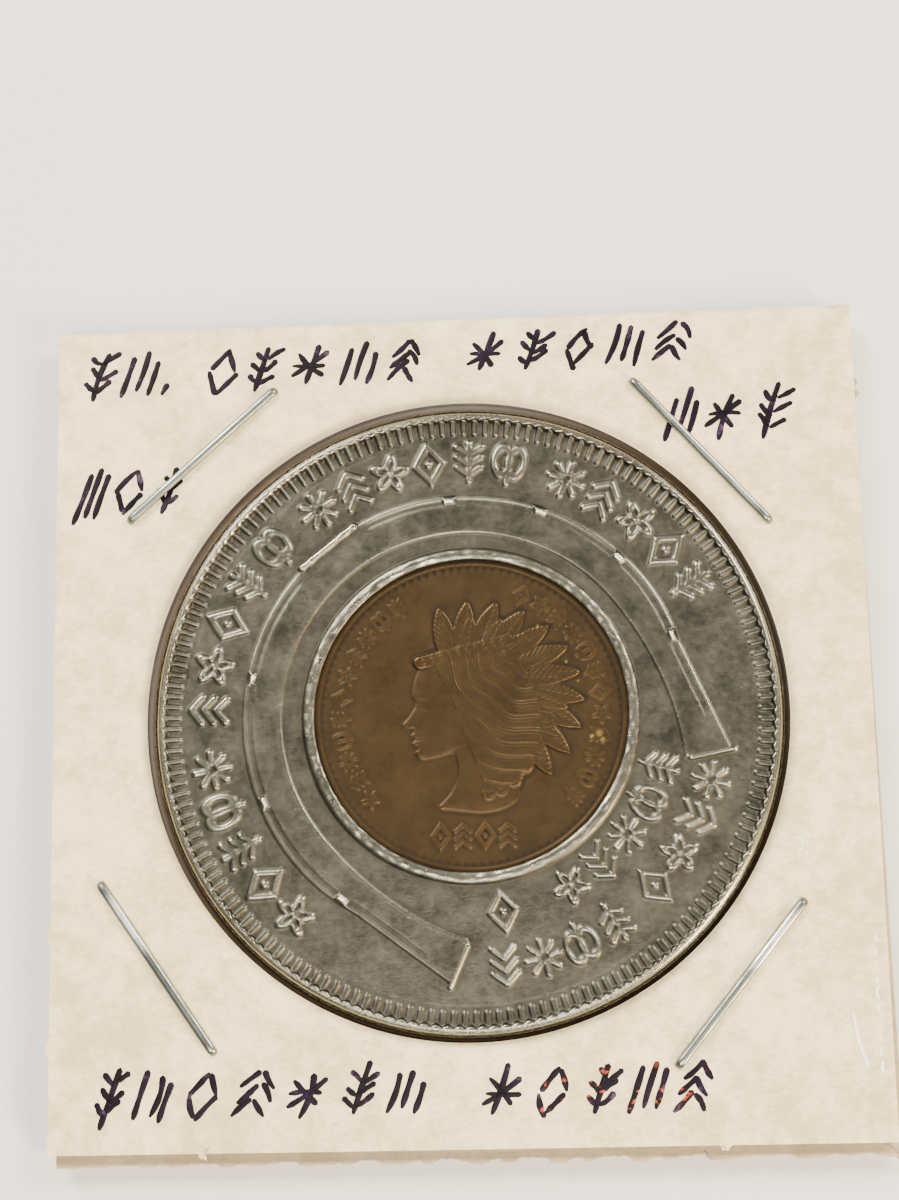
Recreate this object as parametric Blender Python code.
"""A stapled cardboard coin holder with an encased cent in its window.

The holder lies flat, window up. X runs across it, Y up its face towards the fold, Z out of its
front. The origin is the middle of its outline, on the surface it rests on. One blank of board is
folded over the cent piece, a clear film is stuck inside each leaf, and four staples close it. The
cent piece is an aluminium disc struck round a bronze cent, and it turns in the pocket.
"""

import math

import bmesh
import bpy
import numpy as np
from mathutils import Vector

MM = 0.001
ROUND_SIDES = 64
HOLE_SIDES = 12
GAP = 0.04 * MM
CAP_SHARE = 0.35

# The board blank.
LEAF_WIDTH = 50.0 * MM
FRONT_HEIGHT = 50.9 * MM
BACK_OVERHANG = 1.1 * MM
BACK_SKEW = 0.4 * MM
BOARD = 0.45 * MM
WINDOW_RADIUS = 19.65 * MM
WINDOW_FROM_LEAF = Vector((0.43, 0.24)) * MM

# The clear films and the pocket that they make.
FILM = 0.06 * MM
FILM_MARGIN = 0.45 * MM
# The drum's bend, inside and outside: (outwards from the disc's edge, down from the drum's top).
BEND_INSIDE = ((-0.25, 0.0), (0.0, 0.12), (0.08, 0.34))
BEND_OUTSIDE = ((-0.23, 0.0), (0.06, 0.14), (0.14, 0.33))
# The drum's foot: (outwards from the disc's edge, up from the film's flat part).
FOOT_INSIDE = ((0.11, 0.2), (0.19, 0.0))
FOOT_OUTSIDE = ((0.17, 0.2), (0.23, 0.0))

# The aluminium disc. Heights are measured from its middle plane.
DISC_RADIUS = 19.0 * MM
DISC_HALF = 1.3 * MM
FIELD_HALF = 0.92 * MM
BORDER_HALF = 1.1 * MM
BORDER_INNER = 17.45 * MM
BORDER_OUTER = 18.56 * MM
COLLAR_RADIUS = 10.45 * MM
COLLAR_HALF = 1.12 * MM
OPENING_RADIUS = 9.53 * MM
BORDER_RISE = 0.05 * MM
BORDER_SLOPE = 0.1 * MM
# The collar's crest: (outwards from the opening, down from the collar's top), in mm.
COLLAR_CREST = ((0.03, 0.14), (0.28, 0.0), (0.58, 0.02))
# The rolled rim: (inwards from the disc's edge, down from the rim's top), in mm.
RIM_ROLL = ((0.42, 0.02), (0.3, 0.0), (0.13, 0.08), (0.0, 0.3))
DISC_IN_WINDOW = Vector((0.1, -0.18)) * MM

# The cent, which the strike spreads a little and sets off centre in the disc.
CENT_RADIUS = 9.63 * MM
CENT_HALF = 0.74 * MM
CENT_FIELD_HALF = 0.64 * MM
CENT_RIM = 0.55 * MM
CENT_RIM_SLOPE = 0.1 * MM
CENT_EDGE_BEVEL = 0.05 * MM
CENT_IN_DISC = Vector((0.21, 0.10)) * MM
CENT_GAP = 0.02 * MM

# The staples: standard wire, with a crown of half an inch.
WIRE_RADIUS = 0.23 * MM
CROWN = 12.7 * MM
LEG = 6.0 * MM
WIRE_BEND = 0.35 * MM
PIERCED_RADIUS = 0.28 * MM
STAPLES = {
    # name: (crown's middle from the front leaf's middle in mm, crown's angle in degrees)
    "staple_top_left": ((-15.75, 17.0), 41.5),
    "staple_top_right": ((15.3, 16.25), -48.8),
    "staple_bottom_left": ((-18.5, -14.6), -55.6),
    "staple_bottom_right": ((16.35, -16.2), 50.3),
}

# Levels, from the resting surface up.
MIDDLE = FILM + GAP + DISC_HALF
FILM_NEAR = GAP / 2
FILM_FAR = FILM_NEAR + FILM
LEAF_NEAR = FILM_FAR + GAP
LEAF_FAR = LEAF_NEAR + BOARD
POCKET_HALF = DISC_HALF + GAP

# Places in the plane of the holder.
TOP = (FRONT_HEIGHT + BACK_OVERHANG) / 2
FRONT_BOTTOM = TOP - FRONT_HEIGHT
BACK_BOTTOM = -TOP
FOLD_Y = TOP - LEAF_FAR
LEAF_MIDDLE = Vector((-BACK_SKEW / 2, (TOP + FRONT_BOTTOM) / 2))
WINDOW_MIDDLE = LEAF_MIDDLE + WINDOW_FROM_LEAF
DISC_MIDDLE = WINDOW_MIDDLE + DISC_IN_WINDOW


def clear_scene():
    for obj in list(bpy.data.objects):
        bpy.data.objects.remove(obj)


def material(name, colour, roughness, metallic=0.0, alpha=1.0):
    made = bpy.data.materials.new(name)
    made.use_nodes = True
    shader = made.node_tree.nodes["Principled BSDF"]
    shader.inputs["Base Color"].default_value = (*colour, 1.0)
    shader.inputs["Roughness"].default_value = roughness
    shader.inputs["Metallic"].default_value = metallic
    shader.inputs["Alpha"].default_value = alpha
    return made


def empty(name, x, y, z):
    made = bpy.data.objects.new(name, None)
    made.location = (x, y, z)
    bpy.context.scene.collection.objects.link(made)
    return made


def add_object(name, data, finish, parent=None):
    obj = bpy.data.objects.new(name, data)
    bpy.context.scene.collection.objects.link(obj)
    obj.parent = parent
    if finish:
        data.materials.append(finish)
    return obj


def mesh_from(bm, name):
    bmesh.ops.recalc_face_normals(bm, faces=bm.faces)
    mesh = bpy.data.meshes.new(name)
    bm.to_mesh(mesh)
    bm.free()
    mesh.shade_smooth()
    mesh.set_sharp_from_angle(angle=math.radians(30))
    return mesh


def circle_points(radius, z, centre=(0.0, 0.0)):
    """ROUND_SIDES points round a circle, from the -X -Y diagonal anticlockwise."""
    turns = -0.75 * math.pi + np.arange(ROUND_SIDES) * 2 * math.pi / ROUND_SIDES
    return [
        (centre[0] + radius * math.cos(a), centre[1] + radius * math.sin(a), z)
        for a in turns
    ]


def rectangle_points(low, high, z):
    """As many points round a rectangle, from its -X -Y corner anticlockwise."""
    corners = [
        Vector((low[0], low[1], z)),
        Vector((high[0], low[1], z)),
        Vector((high[0], high[1], z)),
        Vector((low[0], high[1], z)),
    ]
    per_side = ROUND_SIDES // 4
    return [
        corners[side].lerp(corners[(side + 1) % 4], step / per_side)
        for side in range(4)
        for step in range(per_side)
    ]


def skin_loops(loops, closed_ring=False):
    """Joins each loop of points to the next. A ring joins its last loop to its first, and any
    other body is capped at both ends."""
    bm = bmesh.new()
    rows = [[bm.verts.new(point) for point in loop] for loop in loops]
    pairs = list(zip(rows, rows[1:]))
    if closed_ring:
        pairs.append((rows[-1], rows[0]))
    for lower, upper in pairs:
        for i in range(ROUND_SIDES):
            j = (i + 1) % ROUND_SIDES
            bm.faces.new((lower[i], lower[j], upper[j], upper[i]))
    if not closed_ring:
        bm.faces.new(reversed(rows[0]))
        bm.faces.new(rows[-1])
    return bm


def staple_feet(middle, degrees):
    """The two points in the holder's plane where a staple's legs go through it."""
    centre = LEAF_MIDDLE + Vector(middle) * MM
    reach = CROWN / 2 - WIRE_RADIUS
    along = Vector((math.cos(math.radians(degrees)), math.sin(math.radians(degrees))))
    return centre - along * reach, centre + along * reach


def cylinder_cutter(name, radius, sides, places):
    """A hidden cutter: an upright cylinder at each place, taller than the whole holder."""
    bm = bmesh.new()
    for x, y in places:
        ring = bmesh.ops.create_cone(
            bm, cap_ends=True, segments=sides, radius1=radius, radius2=radius, depth=4 * MIDDLE
        )
        bmesh.ops.translate(bm, verts=ring["verts"], vec=(x, y, MIDDLE))
    cutter = add_object(name, mesh_from(bm, name), None)
    cutter.hide_render = True
    cutter.display_type = "WIRE"
    return cutter


def cut(obj, cutter):
    modifier = obj.modifiers.new("cut_" + cutter.name, "BOOLEAN")
    modifier.operation = "DIFFERENCE"
    modifier.object = cutter


def build_leaf(name, side, bottom, finish, parent):
    """One half of the folded blank, split at the crease: a flat leaf whose top edge rolls over by
    a quarter turn to the middle plane. side is 1 for the front leaf and -1 for the back one,
    which was folded a little out of square."""
    lip = GAP / 2
    profile = [(bottom, LEAF_NEAR), (bottom, LEAF_FAR), (FOLD_Y, LEAF_FAR)]
    for degrees in (72, 54, 36, 18):
        a = math.radians(degrees)
        profile.append((FOLD_Y + LEAF_FAR * math.cos(a), LEAF_FAR * math.sin(a)))
    profile += [(TOP, lip), (FOLD_Y + LEAF_NEAR, lip)]
    for degrees in (30, 60):
        a = math.radians(degrees)
        profile.append((FOLD_Y + LEAF_NEAR * math.cos(a), LEAF_NEAR * math.sin(a)))
    profile.append((FOLD_Y, LEAF_NEAR))
    bm = bmesh.new()
    left = LEAF_MIDDLE.x - LEAF_WIDTH / 2
    outline = [bm.verts.new((left, y, MIDDLE + side * z)) for y, z in profile]
    face = bm.faces.new(outline)
    swept = bmesh.ops.extrude_face_region(bm, geom=[face])
    moved = [item for item in swept["geom"] if isinstance(item, bmesh.types.BMVert)]
    bmesh.ops.translate(bm, verts=moved, vec=(LEAF_WIDTH, 0, 0))
    if side < 0:
        foot = [vert for vert in bm.verts if vert.co.y == outline[0].co.y]
        bmesh.ops.translate(bm, verts=foot, vec=(BACK_SKEW, 0, 0))
    return add_object(name, mesh_from(bm, name), finish, parent)


def drum_profile(top, flat, bend, foot):
    """The profile of one face of the drum, from its flat cap down to the film's flat part."""
    points = [(CAP_SHARE * DISC_RADIUS, top)]
    points += [(DISC_RADIUS + out * MM, top - down * MM) for out, down in bend]
    points += [(DISC_RADIUS + out * MM, flat + up * MM) for out, up in foot]
    return points


def build_film(name, side, bottom, finish, parent):
    """A clear film stuck to the inside of a leaf. It stands up out of the window as a shallow
    drum, drawn over the disc with a gap all round, and is open towards the other leaf."""
    x, y = DISC_MIDDLE
    inner = drum_profile(POCKET_HALF, FILM_NEAR, BEND_INSIDE, FOOT_INSIDE)
    outer = drum_profile(POCKET_HALF + FILM, FILM_FAR, BEND_OUTSIDE, FOOT_OUTSIDE)
    reach = LEAF_WIDTH / 2 - FILM_MARGIN
    low = (LEAF_MIDDLE.x - reach, bottom + FILM_MARGIN)
    high = (LEAF_MIDDLE.x + reach, FOLD_Y - 2 * GAP)
    loops = [circle_points(r, MIDDLE + side * z, (x, y)) for r, z in inner]
    loops.append(rectangle_points(low, high, MIDDLE + side * FILM_NEAR))
    loops.append(rectangle_points(low, high, MIDDLE + side * FILM_FAR))
    loops += [circle_points(r, MIDDLE + side * z, (x, y)) for r, z in reversed(outer)]
    return add_object(name, mesh_from(skin_loops(loops), name), finish, parent)


def mirrored_profile(half):
    """A profile given for z above 0, from the inside out, followed by its mirror image below."""
    return half + [(r, -z) for r, z in reversed(half)]


def build_disc(finish, parent):
    """The aluminium disc, open in the middle, with a groove that grips the cent's edge. Its outer
    part is centred on the axis that it turns on, and its middle part on the cent."""
    grip = CENT_HALF + CENT_GAP
    half = [(CENT_RADIUS + CENT_GAP, grip), (OPENING_RADIUS, grip)]
    half += [(OPENING_RADIUS + out * MM, COLLAR_HALF - down * MM) for out, down in COLLAR_CREST]
    half += [
        (COLLAR_RADIUS, FIELD_HALF),
        (BORDER_INNER, FIELD_HALF),
        (BORDER_INNER + BORDER_SLOPE, BORDER_HALF),
        (BORDER_OUTER, BORDER_HALF + BORDER_RISE),
    ]
    half += [(DISC_RADIUS - inwards * MM, DISC_HALF - down * MM) for inwards, down in RIM_ROLL]
    loops = []
    for r, z in mirrored_profile(half):
        middle = CENT_IN_DISC if r <= COLLAR_RADIUS else Vector((0.0, 0.0))
        loops.append(circle_points(r, z, middle))
    bm = skin_loops(loops, closed_ring=True)
    return add_object("aluminium_disc", mesh_from(bm, "aluminium_disc"), finish, parent)


def build_cent(finish, parent):
    """The bronze cent, with a low rim round each face."""
    rim = CENT_RADIUS - CENT_RIM
    half = [
        (CAP_SHARE * CENT_RADIUS, CENT_FIELD_HALF),
        (rim - CENT_RIM_SLOPE, CENT_FIELD_HALF),
        (rim, CENT_HALF),
        (CENT_RADIUS - CENT_EDGE_BEVEL, CENT_HALF),
        (CENT_RADIUS, CENT_HALF - CENT_EDGE_BEVEL),
    ]
    loops = [circle_points(r, z, CENT_IN_DISC) for r, z in mirrored_profile(half)]
    return add_object("cent", mesh_from(skin_loops(loops), "cent"), finish, parent)


def bend_points(corner, start, end, steps=4):
    """Points along a wire's bend at a corner, from the direction of start to that of end."""
    into = (start - corner).normalized()
    out = (end - corner).normalized()
    centre = corner + (into + out) * WIRE_BEND
    points = []
    for k in range(steps + 1):
        a = k / steps * math.pi / 2
        points.append(centre - out * WIRE_BEND * math.cos(a) - into * WIRE_BEND * math.sin(a))
    return points


def build_staple(name, middle, degrees, finish, parent):
    """A wire staple: a crown on the front leaf and two legs clinched inwards behind the back one.
    It is drawn in its own X and Z, then turned and set in place."""
    half = CROWN / 2 - WIRE_RADIUS
    crown_z = MIDDLE + LEAF_FAR + GAP + WIRE_RADIUS
    clinch_z = MIDDLE - LEAF_FAR - GAP - WIRE_RADIUS
    clinch = LEG - (crown_z - clinch_z)
    points = []
    for side in (-1, 1):
        tip = Vector((side * (half - clinch), 0, clinch_z))
        foot = Vector((side * half, 0, clinch_z))
        shoulder = Vector((side * half, 0, crown_z))
        inward = Vector((0, 0, crown_z))
        branch = [tip, *bend_points(foot, tip, shoulder), *bend_points(shoulder, foot, inward)]
        points += branch if side < 0 else reversed(branch)
    curve = bpy.data.curves.new(name, "CURVE")
    curve.dimensions = "3D"
    curve.bevel_depth = WIRE_RADIUS
    curve.bevel_resolution = 2
    curve.use_fill_caps = True
    spline = curve.splines.new("POLY")
    spline.points.add(len(points) - 1)
    for target, point in zip(spline.points, points):
        target.co = (*point, 1.0)
    staple = add_object(name, curve, finish, parent)
    place = LEAF_MIDDLE + Vector(middle) * MM
    staple.location = (place.x, place.y, 0)
    staple.rotation_euler = (0, 0, math.radians(degrees))
    return staple


def main():
    clear_scene()
    board = material("board", (0.80, 0.76, 0.67), 0.85)
    clear = material("clear_film", (0.95, 0.97, 1.0), 0.12, alpha=0.15)
    aluminium = material("aluminium", (0.52, 0.52, 0.50), 0.45, 1.0)
    bronze = material("bronze", (0.28, 0.16, 0.08), 0.55, 0.8)
    steel = material("staple_wire", (0.66, 0.67, 0.66), 0.35, 1.0)

    holder = empty("holder", 0, 0, 0)
    axis = empty("disc_axis", DISC_MIDDLE.x, DISC_MIDDLE.y, MIDDLE)

    feet = [foot for middle, degrees in STAPLES.values() for foot in staple_feet(middle, degrees)]
    window = cylinder_cutter("window_cutter", WINDOW_RADIUS, ROUND_SIDES, [WINDOW_MIDDLE])
    holes = cylinder_cutter("staple_hole_cutter", PIERCED_RADIUS, HOLE_SIDES, feet)

    for name, side, bottom in (("front", 1, FRONT_BOTTOM), ("back", -1, BACK_BOTTOM)):
        leaf = build_leaf(name + "_leaf", side, bottom, board, holder)
        cut(leaf, window)
        film = build_film(name + "_film", side, bottom, clear, holder)
        for layer in (leaf, film):
            cut(layer, holes)
    for name, (middle, degrees) in STAPLES.items():
        build_staple(name, middle, degrees, steel, holder)
    build_disc(aluminium, axis)
    build_cent(bronze, axis)


main()
